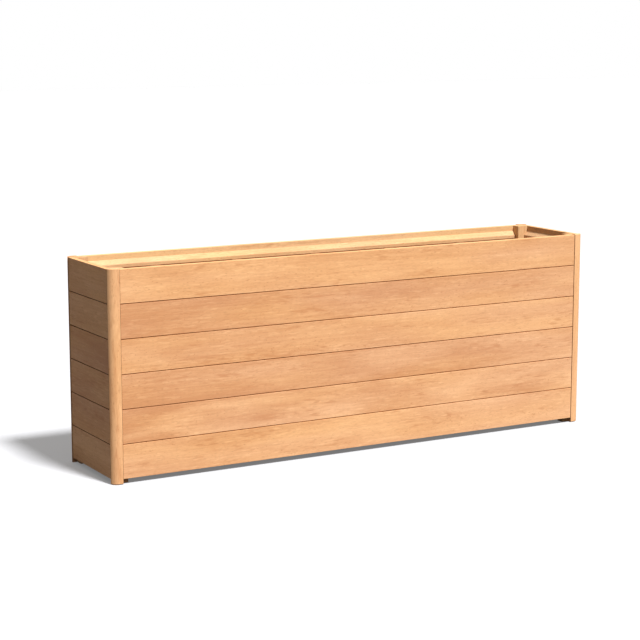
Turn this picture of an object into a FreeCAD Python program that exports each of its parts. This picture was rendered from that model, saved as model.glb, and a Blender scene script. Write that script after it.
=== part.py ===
import FreeCAD, Part
import math
import os

# Wooden planter box, in millimetres. Long side along X, front wall towards -Y, +Z up.
# The origin is on the floor under the middle of the box.

# Overall size
LENGTH = 2000.0
WIDTH = 395.0
HEIGHT = 750.0

# Rounding of the rim, shared by the corner strips and the top boards
RIM_RADIUS = 1.5

# Clearance between pieces cut to fit
FIT_GAP = 0.5

# Corner strips: uprights at both ends of each long wall, with a rounded outer edge. They stand a little
# higher than the boards.
CORNER_WIDTH = 38.5
CORNER_RADIUS = 27.0
CORNER_RISE = 2.0
CORNER_FOOT_CHAMFER = 3.0

# Posts: stock in the inner corners, behind the corner strips and the ends of the boards. Their width is
# along the long walls.
POST_WIDTH = 45.0
POST_DEPTH = 35.0
POST_EDGE_RADIUS = 3.0

# Wall boards: tongue on the upper edge, groove in the lower edge, a square shadow gap between their
# outer faces, which lie a little behind the corner strips
BOARDS_PER_WALL = 6
BOARD_THICKNESS = 18.0
BOARD_SETBACK = 2.0
BOARD_END_GAP = 1.3
BOARD_EDGE_RADIUS = 0.8
GROUND_GAP = 18.5
SHADOW_GAP = 2.8
TONGUE_THICKNESS = 5.0
TONGUE_HEIGHT = 7.0
TONGUE_RADIUS = 1.0
GROOVE_SIDE_CLEARANCE = 0.25
GROOVE_END_CLEARANCE = 1.0

# Top rail: a strip with a sloped top under the rim, inside each wall
RAIL_DROP = 22.5
RAIL_SLOPE_HEIGHT = 16.5
RAIL_FACE_HEIGHT = 13.5
RAIL_NOSE_RADIUS = 5.0
RAIL_LOWER_RADIUS = 2.0

# Battens: upright strips under the rail of a long wall, as deep as the rail
STRIP_DEPTH = 15.0
BATTEN_WIDTH = 39.0
BATTEN_EDGE_RADIUS = 2.0
BATTENS_PER_LONG_WALL = 5

# Floor: slats with drainage gaps, lying across two ledgers
LEDGER_DEPTH = 30.0
LEDGER_HEIGHT = 32.0
LEDGER_LIFT = 6.0
LEDGER_EDGE_RADIUS = 2.0
SLAT_COUNT = 10
SLAT_THICKNESS = 18.0
SLAT_GAP = 8.0
SLAT_END_GAP = 3.0
SLAT_EDGE_RADIUS = 2.0

# Countersunk screws through the battens into every other board of a long wall, counted from the top.
# They are eight-sided, which keeps the many holes light.
SCREW_LENGTH = 30.0
SCREW_HEAD_RADIUS = 4.0
SCREW_HEAD_DEPTH = 2.4
SCREW_SHANK_RADIUS = 2.1
SCREW_SIDES = 8
SCREWED_BOARDS = (1, 3, 5)

# Heights and places that follow from the sizes above
BOARD_PITCH = (HEIGHT - GROUND_GAP) / BOARDS_PER_WALL
WALL_DEPTH = BOARD_SETBACK + BOARD_THICKNESS
CORNER_BULGE = CORNER_RADIUS - math.sqrt(CORNER_RADIUS ** 2 - (CORNER_RADIUS - WALL_DEPTH) ** 2)
POST_REACH_LONG = WALL_DEPTH + POST_WIDTH
POST_REACH_END = WALL_DEPTH + POST_DEPTH
POST_TOP = HEIGHT - CORNER_RISE
RAIL_TOP = HEIGHT - RAIL_DROP
RAIL_NOSE = RAIL_TOP - RAIL_SLOPE_HEIGHT
RAIL_BOTTOM = RAIL_NOSE - RAIL_FACE_HEIGHT
STRIP_FACE = WALL_DEPTH + STRIP_DEPTH
LEDGER_BOTTOM = GROUND_GAP + LEDGER_LIFT
LEDGER_TOP = LEDGER_BOTTOM + LEDGER_HEIGHT
FLOOR_TOP = LEDGER_TOP + SLAT_THICKNESS

ORIGIN = FreeCAD.Vector(0, 0, 0)
UP = FreeCAD.Vector(0, 0, 1)

# Each wall is drawn on the plane y = 0 with its inside towards +y, then turned about Z into place.
# A wall has a turn in degrees, a distance from the origin, a clear length between its posts for the
# rail, and a clear length between its corner strips for the boards.
WALLS = {
    "front": (0, WIDTH / 2, LENGTH - 2 * POST_REACH_LONG, LENGTH - 2 * CORNER_WIDTH),
    "right_end": (90, LENGTH / 2, WIDTH - 2 * POST_REACH_END, WIDTH - 2 * WALL_DEPTH),
    "back": (180, WIDTH / 2, LENGTH - 2 * POST_REACH_LONG, LENGTH - 2 * CORNER_WIDTH),
    "left_end": (270, LENGTH / 2, WIDTH - 2 * POST_REACH_END, WIDTH - 2 * WALL_DEPTH),
}
LONG_WALLS = ("front", "back")

# The side of the box on which each corner lies, along X and along Y
CORNERS = {
    "front_left": (-1, -1),
    "front_right": (1, -1),
    "back_right": (1, 1),
    "back_left": (-1, 1),
}


def outline(corners):
    """Flat face in the XY plane through (x, y, radius) corners. A radius of 0 leaves a corner sharp."""
    points = [FreeCAD.Vector(x, y, 0) for x, y, radius in corners]
    entries, exits, arcs = [], [], []
    for number, (x, y, radius) in enumerate(corners):
        here = points[number]
        back = (points[number - 1] - here).normalize()
        ahead = (points[(number + 1) % len(points)] - here).normalize()
        half_angle = back.getAngle(ahead) / 2
        reach = radius / math.tan(half_angle)
        entries.append(here + back * reach)
        exits.append(here + ahead * reach)
        middle = here + (back + ahead).normalize() * (radius / math.sin(half_angle) - radius)
        arcs.append(Part.Arc(entries[-1], middle, exits[-1]).toShape() if radius else None)
    edges = []
    for number, arc in enumerate(arcs):
        edges.append(Part.LineSegment(exits[number - 1], entries[number]).toShape())
        if arc:
            edges.append(arc)
    return Part.Face(Part.Wire(edges))


def along_wall(corners, length):
    """Bar along X, centred on x = 0, with a section of (depth, height, radius) corners."""
    bar = outline(corners).extrude(UP * length)
    bar.translate(UP * (-length / 2))
    bar.rotate(ORIGIN, FreeCAD.Vector(1, 1, 1), 120)
    return bar


def upright(corners, bottom, top):
    """Bar along Z between two heights, with a plan of (x, y, radius) corners."""
    bar = outline(corners).extrude(UP * (top - bottom))
    bar.translate(UP * bottom)
    return bar


def on_wall(shape, wall):
    """Turns a shape drawn on the plane y = 0 into its place on a wall."""
    turn, distance, rail_run, board_run = WALLS[wall]
    shape.translate(FreeCAD.Vector(0, -distance, 0))
    shape.rotate(ORIGIN, UP, turn)
    return shape


def at_corner(plan, corner):
    """A plan of (x, y, radius) corners, measured inwards from an outer corner of the box, put in place."""
    x_side, y_side = CORNERS[corner]
    return [(x_side * (LENGTH / 2 - x), y_side * (WIDTH / 2 - y), radius) for x, y, radius in plan]


def block(start_x, start_y, end_x, end_y, end_radius=0):
    """Plan of a rectangle between two corners, the second one rounded."""
    return [(start_x, start_y, 0), (end_x, start_y, 0), (end_x, end_y, end_radius), (start_x, end_y, 0)]


def round_edge(strip, height):
    """The curved edge of a corner strip at a height. A fillet or chamfer on it runs on along the front."""
    found = []
    for edge in strip.Edges:
        box = edge.BoundBox
        is_level = abs(box.ZMin - height) < FIT_GAP and box.ZLength < FIT_GAP
        if is_level and isinstance(edge.Curve, Part.Circle):
            found.append(edge)
    return found


def corner_strip(corner):
    """Upright with a rounded outer edge, an eased top and a chamfered foot.

    The rounding is deeper than the strip, whose back cuts it off where the box is longest.
    """
    plan = block(CORNER_WIDTH, CORNER_WIDTH, -CORNER_BULGE, 0, CORNER_RADIUS)
    stock = upright(at_corner(plan, corner), 0, HEIGHT)
    depth = block(CORNER_WIDTH, 0, -CORNER_BULGE, WALL_DEPTH)
    strip = stock.common(upright(at_corner(depth, corner), 0, HEIGHT))
    strip = strip.makeFillet(RIM_RADIUS, round_edge(strip, HEIGHT))
    return strip.makeChamfer(CORNER_FOOT_CHAMFER, round_edge(strip, 0))


def post(corner):
    """Post that the corner strip and the boards of both walls are fixed to, as high as the boards."""
    plan = block(WALL_DEPTH, WALL_DEPTH, POST_REACH_LONG, POST_REACH_END, POST_EDGE_RADIUS)
    return upright(at_corner(plan, corner), 0, POST_TOP)


def board_section(number):
    """Section of a wall board, 1 being the top one: depths from the wall's plane, heights from the floor."""
    top = HEIGHT - (number - 1) * BOARD_PITCH
    bottom = top - BOARD_PITCH
    rim_top = POST_TOP
    lip_top = top - SHADOW_GAP / 2
    lip_bottom = bottom + SHADOW_GAP / 2
    tongue_outer = BOARD_SETBACK + (BOARD_THICKNESS - TONGUE_THICKNESS) / 2
    tongue_inner = tongue_outer + TONGUE_THICKNESS
    tongue_top = top + TONGUE_HEIGHT
    groove_outer = tongue_outer - GROOVE_SIDE_CLEARANCE
    groove_inner = tongue_inner + GROOVE_SIDE_CLEARANCE
    groove_top = bottom + TONGUE_HEIGHT + GROOVE_END_CLEARANCE
    rim = [
        (BOARD_SETBACK, rim_top, RIM_RADIUS),
        (WALL_DEPTH, rim_top, RIM_RADIUS),
    ]
    tongue = [
        (BOARD_SETBACK, lip_top, BOARD_EDGE_RADIUS),
        (tongue_outer, lip_top, 0),
        (tongue_outer, tongue_top, TONGUE_RADIUS),
        (tongue_inner, tongue_top, TONGUE_RADIUS),
        (tongue_inner, top, 0),
        (WALL_DEPTH, top, 0),
    ]
    groove = [
        (WALL_DEPTH, bottom, 0),
        (groove_inner, bottom, 0),
        (groove_inner, groove_top, 0),
        (groove_outer, groove_top, 0),
        (groove_outer, lip_bottom, 0),
        (BOARD_SETBACK, lip_bottom, BOARD_EDGE_RADIUS),
    ]
    drip_edge = [
        (WALL_DEPTH, bottom, 0),
        (BOARD_SETBACK, bottom, BOARD_EDGE_RADIUS),
    ]
    upper = rim if number == 1 else tongue
    lower = drip_edge if number == BOARDS_PER_WALL else groove
    return upper + lower


def wall_board(wall, number):
    """Board between two corner strips, its ends lying on the posts behind them."""
    turn, distance, rail_run, board_run = WALLS[wall]
    return on_wall(along_wall(board_section(number), board_run - 2 * BOARD_END_GAP), wall)


def top_rail(wall):
    """Strip with a sloped top on the inside of a wall, cut to fit between the posts."""
    turn, distance, rail_run, board_run = WALLS[wall]
    section = [
        (WALL_DEPTH, RAIL_TOP, 0),
        (STRIP_FACE, RAIL_NOSE, RAIL_NOSE_RADIUS),
        (STRIP_FACE, RAIL_BOTTOM, RAIL_LOWER_RADIUS),
        (WALL_DEPTH, RAIL_BOTTOM, 0),
    ]
    return on_wall(along_wall(section, rail_run - 2 * FIT_GAP), wall)


def batten_places():
    """Distances along a long wall of its evenly spaced battens."""
    spacing = LENGTH / (BATTENS_PER_LONG_WALL + 1)
    return [(number + 1) * spacing - LENGTH / 2 for number in range(BATTENS_PER_LONG_WALL)]


def batten(wall, place):
    """Upright strip standing on the floor slats, under the rail."""
    plan = [
        (place - BATTEN_WIDTH / 2, WALL_DEPTH, 0),
        (place + BATTEN_WIDTH / 2, WALL_DEPTH, 0),
        (place + BATTEN_WIDTH / 2, STRIP_FACE, BATTEN_EDGE_RADIUS),
        (place - BATTEN_WIDTH / 2, STRIP_FACE, BATTEN_EDGE_RADIUS),
    ]
    return on_wall(upright(plan, FLOOR_TOP, RAIL_BOTTOM - FIT_GAP), wall)


def screw_ring(radius, depth):
    """Many-sided ring about the Y axis, a depth below the head's face."""
    turns = [2 * math.pi * side / SCREW_SIDES for side in range(SCREW_SIDES)]
    points = [FreeCAD.Vector(radius * math.cos(turn), -depth, radius * math.sin(turn)) for turn in turns]
    return Part.makePolygon(points + points[:1])


def batten_screw(wall, place, board):
    """Countersunk screw through a batten into the middle of a board, its head flush with the batten."""
    height = HEIGHT - (board - 0.5) * BOARD_PITCH
    rings = [
        screw_ring(SCREW_HEAD_RADIUS, 0),
        screw_ring(SCREW_SHANK_RADIUS, SCREW_HEAD_DEPTH),
        screw_ring(SCREW_SHANK_RADIUS, SCREW_LENGTH),
    ]
    screw = Part.makeLoft(rings, True, True)
    screw.translate(FreeCAD.Vector(place, STRIP_FACE, height))
    return on_wall(screw, wall)


def floor_ledger(wall):
    """Strip along the foot of a long wall that carries the ends of the floor slats."""
    section = [
        (WALL_DEPTH, LEDGER_BOTTOM, 0),
        (WALL_DEPTH + LEDGER_DEPTH, LEDGER_BOTTOM, LEDGER_EDGE_RADIUS),
        (WALL_DEPTH + LEDGER_DEPTH, LEDGER_TOP, 0),
        (WALL_DEPTH, LEDGER_TOP, 0),
    ]
    turn, distance, rail_run, board_run = WALLS[wall]
    return on_wall(along_wall(section, rail_run - 2 * FIT_GAP), wall)


def floor_slats():
    """Row of slats across the box. The first and last are notched round the corner posts."""
    inner_length = LENGTH - 2 * (WALL_DEPTH + SLAT_END_GAP)
    slat_width = (inner_length - (SLAT_COUNT - 1) * SLAT_GAP) / SLAT_COUNT
    slat_length = WIDTH - 2 * (WALL_DEPTH + SLAT_END_GAP)
    section = [
        (0, LEDGER_TOP, 0),
        (slat_width, LEDGER_TOP, 0),
        (slat_width, FLOOR_TOP, SLAT_EDGE_RADIUS),
        (0, FLOOR_TOP, SLAT_EDGE_RADIUS),
    ]
    slats = []
    for number in range(SLAT_COUNT):
        slat = along_wall(section, slat_length)
        slat.rotate(ORIGIN, UP, 90)
        slat.translate(FreeCAD.Vector(inner_length / 2 - number * (slat_width + SLAT_GAP), 0, 0))
        slats.append(slat)
    slats.reverse()
    notch = block(0, 0, POST_REACH_LONG + SLAT_END_GAP, POST_REACH_END + SLAT_END_GAP)
    notches = [upright(at_corner(notch, corner), 0, HEIGHT) for corner in CORNERS]
    for number in (0, SLAT_COUNT - 1):
        slats[number] = slats[number].cut(notches)
    return slats


def assemble():
    """All pieces in place, by node name."""
    pieces = {}
    screws = []
    for corner in CORNERS:
        pieces[f"post_{corner}"] = post(corner)
        pieces[f"corner_strip_{corner}"] = corner_strip(corner)
    for wall in WALLS:
        pieces[f"{wall}_top_rail"] = top_rail(wall)
        for number in range(1, BOARDS_PER_WALL + 1):
            pieces[f"{wall}_board_{number}"] = wall_board(wall, number)
    for wall in LONG_WALLS:
        pieces[f"{wall}_floor_ledger"] = floor_ledger(wall)
        for number, place in enumerate(batten_places(), 1):
            driven = {board: batten_screw(wall, place, board) for board in SCREWED_BOARDS}
            pieces[f"{wall}_batten_{number}"] = batten(wall, place).cut(list(driven.values()))
            for board, screw in driven.items():
                pieces[f"{wall}_board_{board}"] = pieces[f"{wall}_board_{board}"].cut(screw)
            screws.extend(driven.values())
    for number, slat in enumerate(floor_slats(), 1):
        pieces[f"floor_slat_{number:02d}"] = slat
    pieces["batten_screws"] = Part.makeCompound(screws)
    return pieces


os.makedirs("parts", exist_ok=True)
for name, shape in assemble().items():
    shape.exportStep(f"parts/{name}.step")
    print(name, len(shape.Solids), "solid", shape.isValid(), round(shape.Volume / 1000), "cm3")
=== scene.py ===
import math
import random

import bmesh
import bpy
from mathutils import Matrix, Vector


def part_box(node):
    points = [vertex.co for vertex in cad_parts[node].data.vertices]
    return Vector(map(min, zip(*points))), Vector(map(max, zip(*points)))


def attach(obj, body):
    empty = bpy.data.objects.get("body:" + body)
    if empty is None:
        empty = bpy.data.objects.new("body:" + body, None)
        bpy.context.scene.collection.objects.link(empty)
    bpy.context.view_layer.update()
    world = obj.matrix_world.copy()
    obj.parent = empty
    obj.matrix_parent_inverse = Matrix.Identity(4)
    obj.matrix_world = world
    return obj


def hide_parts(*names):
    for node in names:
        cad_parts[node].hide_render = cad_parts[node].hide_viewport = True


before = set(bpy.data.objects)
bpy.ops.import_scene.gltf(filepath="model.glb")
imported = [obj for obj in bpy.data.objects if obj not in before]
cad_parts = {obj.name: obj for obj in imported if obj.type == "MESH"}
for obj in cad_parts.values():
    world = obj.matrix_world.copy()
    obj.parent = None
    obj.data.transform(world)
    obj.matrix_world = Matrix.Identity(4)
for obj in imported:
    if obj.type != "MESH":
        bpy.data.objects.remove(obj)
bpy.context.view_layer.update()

# Camera, in metres and degrees, standing to the left of the front wall
CAMERA_PLACE = (-3.3087, -5.6901, 1.5940)
CAMERA_YAW = 29.638
CAMERA_DOWN = 9.745
LENS_MM = 100.0
SENSOR_MM = 36.0

# Light: a broad sun from the front, high and a little to the right, and a soft sky brightest overhead
SUN_TOWARDS = (0.121, -0.520, 0.846)
SUN_STRENGTH = 6.16
SUN_ANGLE = 9.0
SUN_COLOUR = (1.0, 0.985, 0.96)
SKY_COLOUR = (1.0, 0.96, 0.90)
SKY_AT_HORIZON = 0.024
SKY_OVERHEAD = 0.619

# Floor: white to the camera, duller for the light that it throws back on the wood
FLOOR_SIZE = 60.0
FLOOR_SEEN = (0.438, 0.447, 0.476)
FLOOR_LIFT = 0.175
FLOOR_BOUNCE = (0.06, 0.06, 0.06)
WHITE = (1.0, 1.0, 1.0, 1.0)

# Wood: linear colours, tints that multiply them, and surface
PALE_WOOD = (0.843, 0.484, 0.252, 1.0)
DEEP_WOOD = (0.617, 0.293, 0.136, 1.0)
PORE_COLOUR = (0.277, 0.118, 0.050, 1.0)
YELLOW_TINT = (1.010, 1.000, 0.930, 1.0)
PINK_TINT = (0.990, 1.000, 1.070, 1.0)
ROUGHNESS_RANGE = (0.50, 0.66)
WOOD_SPECULAR = 0.12
BUMP_STRENGTH = 0.5
BUMP_METRES = 0.0003

# Grain sizes, as repeats per metre along the fibres and across them
WANDER = (1.3, 6.0, 6.0)
WANDER_METRES = 0.010
BANDS = (0.6, 8.0, 8.0)
CLOUDS = (2.6, 13.0, 13.0)
HUES = (1.6, 9.0, 9.0)
STREAKS = (6.0, 120.0, 120.0)
DASH_GROUPS = (4.0, 22.0, 22.0)
DASHES = (20.0, 130.0, 130.0)
FLECKS = (26.0, 190.0, 190.0)
SPECKS = (110.0, 240.0, 240.0)
FIBRES = (28.0, 1100.0, 1100.0)
PORES = (60.0, 1500.0, 1500.0)
RING_METRES = 0.0075

# Stretches of values that are used: the common swing of a noise, the late part of a growth ring, and the
# tops of noises that stand out as marks
SWING = (0.3, 0.7)
ROUGHNESS_SWING = (0.2, 0.8)
LATE_WOOD_STRETCH = (0.35, 1.0)
DASH_GROUP_TOPS = (0.48, 0.64)
DASH_TOPS = (0.52, 0.70)
FLECK_TOPS = (0.64, 0.76)
SPECK_TOPS = (0.74, 0.80)
PORE_TOPS = (0.64, 0.74)

# What the grain adds to a piece's tone and hue, and how much of the pore colour shows in a pore
CLOUD_TONES = (-0.20, 0.34)
BAND_TONES = (-0.16, 0.16)
STREAK_TONES = (-0.17, 0.17)
FIBRE_TONES = (-0.09, 0.09)
LATE_WOOD_TONE = -0.07
DASH_TONE = -0.46
FLECK_TONE = 0.26
SPECK_TONE = -0.50
HUE_SHIFTS = (-0.5, 0.5)
PORE_SHARE = 0.30

# Looks of a piece: tone from 0 deep to 1 pale, its gain per metre to the right, hue from 0 yellow to 1 pink,
# and figure, the strength of its clouds
FRONT_BOARDS = (
    (0.57, 0.06, 0.40, 0.9),
    (0.31, 0.33, 0.55, 0.6),
    (0.50, 0.24, 0.35, 0.8),
    (0.23, 0.16, 0.65, 1.1),
    (0.31, 0.26, 0.60, 1.9),
    (0.55, 0.20, 0.42, 0.9),
)
LEFT_END_TONES = (0.47, 0.68, 0.22, 0.33, 0.30, 0.62)
PIECE_TONES = {
    "corner_strip_front_left": 0.68,
    "corner_strip_front_right": 0.74,
    "back_board_1": 0.88,
    "back_top_rail": 0.62,
    "post_back_right": 0.34,
    "right_end_board_1": 0.75,
}
TONE_RANGE = (0.32, 0.62)
FLOOR_TONE_RANGE = (0.10, 0.35)
HUE_RANGE = (0.3, 0.7)

# Random draws for each piece: their seed, and how far its pith lies from it in metres, across the fibres
# and along them
DICE_SEED = 7
PITH_REACH = (0.07, 0.22)
PITH_SHIFT = (5, 50)

# Joints between boards: heights about the middle of a wall where they lie, and depths behind its face at
# which the tint of the shoulder faces and of the tongue faces sets in and fades. These tints are painted
# light and shade in the joints. The ends of the boards carry painted shade where they meet the corner
# strips.
# Axes are 0 for X and 1 for Y.
WALL_MIDDLE = 0.384
JOINT_REACH = 0.300
TONGUE_DEPTHS = (0.0035, 0.0045, 0.0140, 0.0150)
# Painted shade for the ends of the boards, in place of the shadow in the gap at a corner strip
PAINTED_END_SHADE_TINT = (0.30, 0.24, 0.18, 1.0)
# Long walls: painted shade on the shoulder faces and painted warm light on the tongue faces of their joints
LONG_WALL = {
    "axis across": 1,
    "axis along": 0,
    "shoulder depths": (0.0006, 0.0012, 0.0035, 0.0045),
    "painted shoulder shade": (0.86, 0.67, 0.45, 1.0),
    "painted tongue light and shade": (1.15, 1.10, 0.70, 1.0),
    # Painted shade at the board ends, fading out over this many metres from the end
    "painted end shade": 0.0014,
}
# End walls, which lie in shade: painted shade on the shoulder and tongue faces of their joints
END_WALL = {
    "axis across": 0,
    "axis along": 1,
    "shoulder depths": (0.0001, 0.0005, 0.0035, 0.0045),
    "painted shoulder shade": (0.48, 0.40, 0.33, 1.0),
    "painted tongue light and shade": (0.38, 0.30, 0.24, 1.0),
    # Painted shade at the board ends, a broad band that fades out over this many metres from the end
    "painted end shade": 0.0090,
}

# Painted shade inside the box, which makes the wood there darker and less red than outside, in place of
# weaker light bouncing between the walls, and the depths behind the face of a board between which the one
# turns into the other
INSIDE_SHADE_TINT = (0.82, 0.91, 0.93, 1.0)
INSIDE_SHADE_DEPTHS = (0.0160, 0.0175)

# Screws: the boards and battens that they join, their rings of radius and height about the face of a batten,
# and the cross cut in the head
WALL_HEIGHT = 0.7315
BOARDS_PER_WALL = 6
BOARD_PITCH = WALL_HEIGHT / BOARDS_PER_WALL
SCREWED_BOARDS = (1, 3, 5)
BATTENS_PER_LONG_WALL = 5
SCREW_SIDES = 20
SCREW_PROFILE = ((0.0021, -0.0300), (0.0021, -0.0026), (0.0043, 0.0), (0.0043, 0.0001), (0.0040, 0.0003))
CROSS_ARM = 0.0022
CROSS_HALF = 0.0005
CROSS_DEPTH = 0.0012
STEEL_COLOUR = (0.56, 0.55, 0.53, 1.0)
STEEL_ROUGHNESS = 0.38


def node(tree, kind, inputs=None, **properties):
    """Adds a shader node, sets its properties, and links or sets its inputs."""
    made = tree.nodes.new(kind)
    for name, value in properties.items():
        setattr(made, name, value)
    for key, value in (inputs or {}).items():
        if isinstance(value, bpy.types.NodeSocket):
            tree.links.new(value, made.inputs[key])
        else:
            made.inputs[key].default_value = value
    return made


def sums(tree, operation, first, second=0.0):
    """Output of a maths node on two values."""
    return node(tree, "ShaderNodeMath", {0: first, 1: second}, operation=operation).outputs[0]


def vectors(tree, operation, first, second):
    """Output of a vector maths node on two vectors."""
    return node(tree, "ShaderNodeVectorMath", {0: first, 1: second}, operation=operation).outputs[0]


def spread(tree, value, low, high, to_low=0.0, to_high=1.0):
    """Maps a stretch of values to another one, held at its ends."""
    inputs = {0: value, 1: low, 2: high, 3: to_low, 4: to_high}
    return node(tree, "ShaderNodeMapRange", inputs, clamp=True).outputs[0]


def blend_colours(tree, share, first, second, blend_type="MIX"):
    """Mix of two colours."""
    inputs = {0: share, 6: first, 7: second}
    return node(tree, "ShaderNodeMix", inputs, data_type="RGBA", blend_type=blend_type).outputs[2]


def noise(tree, coords, repeats, detail=2.0, roughness=0.5):
    """Noise texture stretched to so many repeats per metre on each axis."""
    stretched = vectors(tree, "MULTIPLY", coords, repeats)
    inputs = {"Vector": stretched, "Scale": 1.0, "Detail": detail, "Roughness": roughness}
    return node(tree, "ShaderNodeTexNoise", inputs)


def make_grain_group():
    """Solid wood, as a node group. Its coordinates are metres with the fibres along x."""
    group = bpy.data.node_groups.new("wood_grain", "ShaderNodeTree")
    group.interface.new_socket("Fibre place", in_out="INPUT", socket_type="NodeSocketVector")
    group.interface.new_socket("Tone", in_out="INPUT", socket_type="NodeSocketFloat")
    group.interface.new_socket("Hue", in_out="INPUT", socket_type="NodeSocketFloat")
    group.interface.new_socket("Figure", in_out="INPUT", socket_type="NodeSocketFloat")
    group.interface.new_socket("Colour", in_out="OUTPUT", socket_type="NodeSocketColor")
    group.interface.new_socket("Roughness", in_out="OUTPUT", socket_type="NodeSocketFloat")
    group.interface.new_socket("Height", in_out="OUTPUT", socket_type="NodeSocketFloat")
    given = group.nodes.new("NodeGroupInput")

    # The fibres wander slowly sideways along a piece
    wander = noise(group, given.outputs["Fibre place"], WANDER, detail=1.0).outputs["Color"]
    wander = vectors(group, "SUBTRACT", wander, (0.5, 0.5, 0.5))
    wander = vectors(group, "MULTIPLY", wander, (0.0, WANDER_METRES, WANDER_METRES))
    place = vectors(group, "ADD", given.outputs["Fibre place"], wander)

    # Growth rings about a pith that lies on the axis of the coordinates
    parts = node(group, "ShaderNodeSeparateXYZ", {0: place})
    across = sums(group, "POWER", parts.outputs["Y"], 2.0)
    across = sums(group, "ADD", across, sums(group, "POWER", parts.outputs["Z"], 2.0))
    rings = sums(group, "DIVIDE", sums(group, "SQRT", across), RING_METRES)
    rings = sums(group, "FRACT", rings)
    late_wood = spread(group, rings, *LATE_WOOD_STRETCH)

    # Long bands, broad clouds, soft streaks, dark dashes that come in groups, pale flecks and dark specks
    bands = noise(group, place, BANDS, detail=1.0).outputs["Fac"]
    clouds = noise(group, place, CLOUDS, detail=2.0).outputs["Fac"]
    streaks = noise(group, place, STREAKS, detail=3.0, roughness=0.6).outputs["Fac"]
    groups = spread(group, noise(group, place, DASH_GROUPS, detail=1.0).outputs["Fac"], *DASH_GROUP_TOPS)
    dashes = spread(group, noise(group, place, DASHES, detail=1.0).outputs["Fac"], *DASH_TOPS)
    dashes = sums(group, "MULTIPLY", dashes, groups)
    flecks = spread(group, noise(group, place, FLECKS, detail=0.0).outputs["Fac"], *FLECK_TOPS)
    specks = spread(group, noise(group, place, SPECKS, detail=0.0).outputs["Fac"], *SPECK_TOPS)
    fibres = noise(group, place, FIBRES, detail=2.0).outputs["Fac"]
    pores = spread(group, noise(group, place, PORES, detail=0.0).outputs["Fac"], *PORE_TOPS)

    # The tone chooses a colour between deep and pale wood, the hue tints it, and the pores lie on top
    clouds = spread(group, clouds, *SWING, *CLOUD_TONES)
    clouds = sums(group, "MULTIPLY", clouds, given.outputs["Figure"])
    tone = sums(group, "ADD", given.outputs["Tone"], clouds)
    for value, tones in ((bands, BAND_TONES), (streaks, STREAK_TONES), (fibres, FIBRE_TONES)):
        tone = sums(group, "ADD", tone, spread(group, value, *SWING, *tones))
    marks = ((late_wood, LATE_WOOD_TONE), (dashes, DASH_TONE), (flecks, FLECK_TONE), (specks, SPECK_TONE))
    for value, gain in marks:
        tone = sums(group, "ADD", tone, sums(group, "MULTIPLY", value, gain))
    colour = blend_colours(group, tone, DEEP_WOOD, PALE_WOOD)
    hues = spread(group, noise(group, place, HUES, detail=1.0).outputs["Fac"], *SWING, *HUE_SHIFTS)
    tint = blend_colours(group, sums(group, "ADD", given.outputs["Hue"], hues), YELLOW_TINT, PINK_TINT)
    colour = blend_colours(group, 1.0, colour, tint, "MULTIPLY")
    colour = blend_colours(group, sums(group, "MULTIPLY", pores, PORE_SHARE), colour, PORE_COLOUR)

    roughness = spread(group, fibres, *ROUGHNESS_SWING, *ROUGHNESS_RANGE)
    height = sums(group, "SUBTRACT", fibres, pores)

    results = group.nodes.new("NodeGroupOutput")
    group.links.new(colour, results.inputs["Colour"])
    group.links.new(roughness, results.inputs["Roughness"])
    group.links.new(height, results.inputs["Height"])
    return group


def inwards_from(tree, parts, side, limit):
    """Distance inwards, along a row axis, from a limit on either side of the middle of the box."""
    return sums(tree, "SUBTRACT", limit, sums(tree, "ABSOLUTE", parts.outputs[side]))


def joint_share(tree, parts, depth, depths):
    """1 on the narrow faces inside the joints of a wall, between some depths behind its face, else 0."""
    started = spread(tree, depth, depths[0], depths[1])
    going_on = spread(tree, depth, depths[2], depths[3], 1.0, 0.0)
    from_middle = sums(tree, "ABSOLUTE", sums(tree, "SUBTRACT", parts.outputs["Z"], WALL_MIDDLE))
    near = sums(tree, "LESS_THAN", from_middle, JOINT_REACH)
    return sums(tree, "MULTIPLY", sums(tree, "MULTIPLY", started, going_on), near)


def tint_board(tree, name, coords, colour):
    """Colour of a board with the tints of its joints, its inner face and its ends, all of them painted light
    and shade.
    """
    wall = END_WALL if "_end_" in name else LONG_WALL
    across, along = wall["axis across"], wall["axis along"]
    low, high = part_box(name)
    parts = node(tree, "ShaderNodeSeparateXYZ", {0: coords})
    depth = inwards_from(tree, parts, across, max(-low[across], high[across]))
    # Painted shade on the shoulder faces in the joints, then painted light on the tongue faces of the long
    # walls and painted shade on those of the end walls
    painted_shoulder_share = joint_share(tree, parts, depth, wall["shoulder depths"])
    colour = blend_colours(tree, painted_shoulder_share, colour, wall["painted shoulder shade"], "MULTIPLY")
    painted_tongue_share = joint_share(tree, parts, depth, TONGUE_DEPTHS)
    colour = blend_colours(tree, painted_tongue_share, colour, wall["painted tongue light and shade"], "MULTIPLY")
    # Painted shade on the inner half of the board, inside the box
    colour = blend_colours(tree, spread(tree, depth, *INSIDE_SHADE_DEPTHS), colour, INSIDE_SHADE_TINT, "MULTIPLY")
    # Painted shade that fades in over the last millimetres before the end of the board
    from_end = inwards_from(tree, parts, along, high[along])
    ends = spread(tree, from_end, 0.0, wall["painted end shade"], 1.0, 0.0)
    return blend_colours(tree, ends, colour, PAINTED_END_SHADE_TINT, "MULTIPLY")


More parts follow.
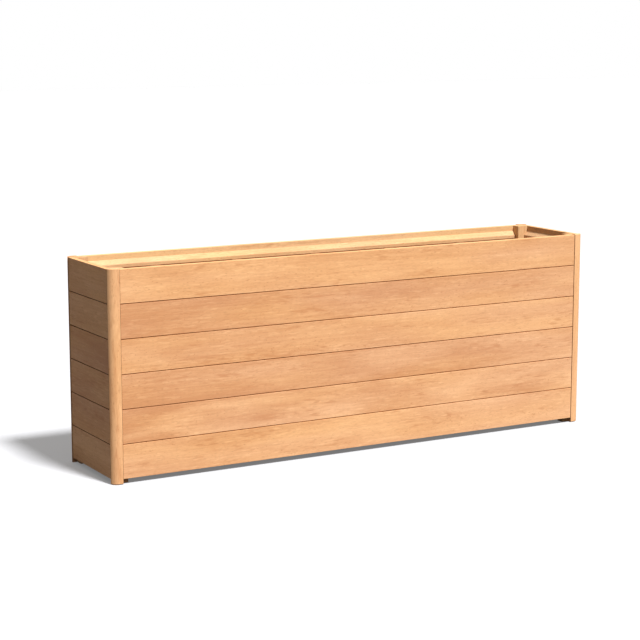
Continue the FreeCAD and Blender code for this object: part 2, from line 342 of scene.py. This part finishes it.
def wood_material(name, grain, axis, looks, pith):
    """Wood for one piece, with its fibres along a row axis and its pith at a point beside the piece."""
    tone, gain, hue, figure = looks
    material = bpy.data.materials.new("wood_" + name)
    material.use_nodes = True
    tree = material.node_tree
    tree.nodes.clear()
    coords = node(tree, "ShaderNodeTexCoord").outputs["Object"]
    from_pith = vectors(tree, "SUBTRACT", coords, pith)
    parts = node(tree, "ShaderNodeSeparateXYZ", {0: from_pith})
    order = [parts.outputs[(axis + step) % 3] for step in range(3)]
    place = node(tree, "ShaderNodeCombineXYZ", {0: order[0], 1: order[1], 2: order[2]}).outputs[0]
    right = node(tree, "ShaderNodeSeparateXYZ", {0: coords}).outputs["X"]
    wood = node(tree, "ShaderNodeGroup", node_tree=grain)
    tree.links.new(place, wood.inputs["Fibre place"])
    tree.links.new(sums(tree, "ADD", sums(tree, "MULTIPLY", right, gain), tone), wood.inputs["Tone"])
    wood.inputs["Hue"].default_value = hue
    wood.inputs["Figure"].default_value = figure
    colour = wood.outputs["Colour"]
    if "_board_" in name:
        colour = tint_board(tree, name, coords, colour)
    elif not name.startswith("corner_strip_"):
        # Every other piece stands inside the box and gets its painted shade over the whole piece
        colour = blend_colours(tree, 1.0, colour, INSIDE_SHADE_TINT, "MULTIPLY")
    inputs = {"Strength": BUMP_STRENGTH, "Distance": BUMP_METRES, "Height": wood.outputs["Height"]}
    bump = node(tree, "ShaderNodeBump", inputs)
    shader = node(tree, "ShaderNodeBsdfPrincipled", {
        "Base Color": colour,
        "Roughness": wood.outputs["Roughness"],
        "Normal": bump.outputs[0],
        "Specular IOR Level": WOOD_SPECULAR,
    })
    node(tree, "ShaderNodeOutputMaterial", {"Surface": shader.outputs[0]})
    return material


def piece_looks(name, dice):
    """Tone, its gain to the right, hue and figure of a piece of wood."""
    hue = dice.uniform(*HUE_RANGE)
    if name.startswith("front_board_"):
        return FRONT_BOARDS[int(name[-1]) - 1]
    if name.startswith("left_end_board_"):
        return LEFT_END_TONES[int(name[-1]) - 1], 0.0, hue, 1.0
    if name in PIECE_TONES:
        return PIECE_TONES[name], 0.0, hue, 1.0
    if name.startswith("floor_slat") or name.endswith("ledger"):
        return dice.uniform(*FLOOR_TONE_RANGE), 0.0, hue, 1.0
    return dice.uniform(*TONE_RANGE), 0.0, hue, 1.0


def dress_wood():
    """Gives every wooden node its own material, cut from its own part of a log."""
    grain = make_grain_group()
    dice = random.Random(DICE_SEED)
    for name in sorted(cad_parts):
        if name == "batten_screws":
            continue
        low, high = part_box(name)
        size = high - low
        axis = max(range(3), key=lambda side: size[side])
        middle = (low + high) / 2
        turn = dice.uniform(0, 2 * math.pi)
        reach = dice.uniform(*PITH_REACH)
        pith = Vector((0.0, 0.0, 0.0))
        pith[axis] = middle[axis] + dice.uniform(*PITH_SHIFT)
        pith[(axis + 1) % 3] = middle[(axis + 1) % 3] + reach * math.cos(turn)
        pith[(axis + 2) % 3] = middle[(axis + 2) % 3] + reach * math.sin(turn)
        made = wood_material(name, grain, axis, piece_looks(name, dice), pith)
        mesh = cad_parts[name].data
        mesh.materials.clear()
        mesh.materials.append(made)


def add_screw(shape, place, inwards):
    """Adds a countersunk screw with a cross in its head, which faces along Y at a place on a batten."""
    def point(x, height, z):
        return shape.verts.new((place[0] + x, place[1] + inwards * height, place[2] + z))

    rings = []
    for radius, height in SCREW_PROFILE:
        turns = [2 * math.pi * side / SCREW_SIDES for side in range(SCREW_SIDES)]
        rings.append([point(radius * math.cos(turn), height, radius * math.sin(turn)) for turn in turns])
    for lower, upper in zip(rings, rings[1:]):
        for side in range(SCREW_SIDES):
            shape.faces.new((lower[side - 1], lower[side], upper[side], upper[side - 1]))
    shape.faces.new(rings[0])
    quarter = [(CROSS_ARM, CROSS_HALF), (CROSS_HALF, CROSS_HALF), (CROSS_HALF, CROSS_ARM)]
    cross = []
    for step in range(4):
        cosine, sine = round(math.cos(step * math.pi / 2)), round(math.sin(step * math.pi / 2))
        cross += [(x * cosine - z * sine, x * sine + z * cosine) for x, z in quarter]
    head_height = SCREW_PROFILE[-1][1]
    rim = [point(x, head_height, z) for x, z in cross]
    bottom = [point(x, head_height - CROSS_DEPTH, z) for x, z in cross]
    for side in range(len(cross)):
        shape.faces.new((rim[side - 1], rim[side], bottom[side], bottom[side - 1]))
    shape.faces.new(bottom)
    edges = []
    for loop in (rings[-1], rim):
        edges += [shape.edges.get((loop[side - 1], loop[side])) for side in range(len(loop))]
    bmesh.ops.triangle_fill(shape, use_beauty=True, edges=edges, normal=(0, inwards, 0))


def make_screws():
    """Steel screws with round heads, in place of the plain many-sided ones."""
    shape = bmesh.new()
    for wall, inwards in (("front", 1), ("back", -1)):
        heights = [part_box(f"{wall}_board_{board}")[0].z + BOARD_PITCH / 2 for board in SCREWED_BOARDS]
        for number in range(1, BATTENS_PER_LONG_WALL + 1):
            low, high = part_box(f"{wall}_batten_{number}")
            face = high.y if inwards > 0 else low.y
            for height in heights:
                add_screw(shape, ((low.x + high.x) / 2, face, height), inwards)
    bmesh.ops.recalc_face_normals(shape, faces=shape.faces)
    mesh = bpy.data.meshes.new("screws")
    shape.to_mesh(mesh)
    shape.free()
    steel = bpy.data.materials.new("steel")
    steel.use_nodes = True
    tree = steel.node_tree
    tree.nodes.clear()
    inputs = {"Base Color": STEEL_COLOUR, "Metallic": 1.0, "Roughness": STEEL_ROUGHNESS}
    shader = node(tree, "ShaderNodeBsdfPrincipled", inputs)
    node(tree, "ShaderNodeOutputMaterial", {"Surface": shader.outputs[0]})
    mesh.materials.append(steel)
    screws = bpy.data.objects.new("screws", mesh)
    bpy.context.scene.collection.objects.link(screws)
    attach(screws, "root")
    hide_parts("batten_screws")


def make_floor():
    """White floor that keeps the shadow and throws little light back."""
    bpy.ops.mesh.primitive_plane_add(size=FLOOR_SIZE)
    floor = bpy.context.object
    floor.name = "floor"
    material = bpy.data.materials.new("floor")
    material.use_nodes = True
    tree = material.node_tree
    tree.nodes.clear()
    path = node(tree, "ShaderNodeLightPath").outputs
    seen = sums(tree, "MAXIMUM", path["Is Camera Ray"], path["Is Glossy Ray"])
    seen = sums(tree, "MAXIMUM", seen, path["Is Transmission Ray"])
    white = node(tree, "ShaderNodeBsdfDiffuse", {"Color": (*FLOOR_SEEN, 1.0)})
    lift = node(tree, "ShaderNodeEmission", {"Color": WHITE, "Strength": FLOOR_LIFT})
    lifted = node(tree, "ShaderNodeAddShader", {0: white.outputs[0], 1: lift.outputs[0]})
    dull = node(tree, "ShaderNodeBsdfDiffuse", {"Color": (*FLOOR_BOUNCE, 1.0)})
    mixed = node(tree, "ShaderNodeMixShader", {0: seen, 1: dull.outputs[0], 2: lifted.outputs[0]})
    node(tree, "ShaderNodeOutputMaterial", {"Surface": mixed.outputs[0]})
    floor.data.materials.append(material)


def make_sky():
    """Soft sky, brightest overhead, that the camera sees as white."""
    world = bpy.data.worlds.new("sky")
    bpy.context.scene.world = world
    world.use_nodes = True
    tree = world.node_tree
    tree.nodes.clear()
    path = node(tree, "ShaderNodeLightPath").outputs
    seen = sums(tree, "MAXIMUM", path["Is Camera Ray"], path["Is Transmission Ray"])
    up = node(tree, "ShaderNodeSeparateXYZ", {0: node(tree, "ShaderNodeTexCoord").outputs["Generated"]})
    strength = spread(tree, up.outputs["Z"], 0.0, 1.0, SKY_AT_HORIZON, SKY_OVERHEAD)
    glow = node(tree, "ShaderNodeBackground", {"Color": (*SKY_COLOUR, 1.0), "Strength": strength})
    white = node(tree, "ShaderNodeBackground", {"Color": WHITE, "Strength": 1.0})
    mixed = node(tree, "ShaderNodeMixShader", {0: seen, 1: glow.outputs[0], 2: white.outputs[0]})
    node(tree, "ShaderNodeOutputWorld", {"Surface": mixed.outputs[0]})


def make_sun():
    """Broad sun that throws a soft shadow to the back."""
    lamp = bpy.data.lights.new("sun", "SUN")
    lamp.energy = SUN_STRENGTH
    lamp.angle = math.radians(SUN_ANGLE)
    lamp.color = SUN_COLOUR
    sun = bpy.data.objects.new("sun", lamp)
    sun.rotation_mode = "QUATERNION"
    sun.rotation_quaternion = Vector(SUN_TOWARDS).to_track_quat("Z", "Y")
    bpy.context.scene.collection.objects.link(sun)


def make_camera():
    """Camera at the photograph's place."""
    lens = bpy.data.cameras.new("camera")
    lens.lens = LENS_MM
    lens.sensor_width = SENSOR_MM
    camera = bpy.data.objects.new("camera", lens)
    camera.location = CAMERA_PLACE
    camera.rotation_euler = (math.radians(90 - CAMERA_DOWN), 0, math.radians(-CAMERA_YAW))
    bpy.context.scene.collection.objects.link(camera)
    bpy.context.scene.camera = camera


dress_wood()
make_screws()
make_floor()
make_sky()
make_sun()
make_camera()
bpy.context.scene.view_settings.view_transform = "Standard"
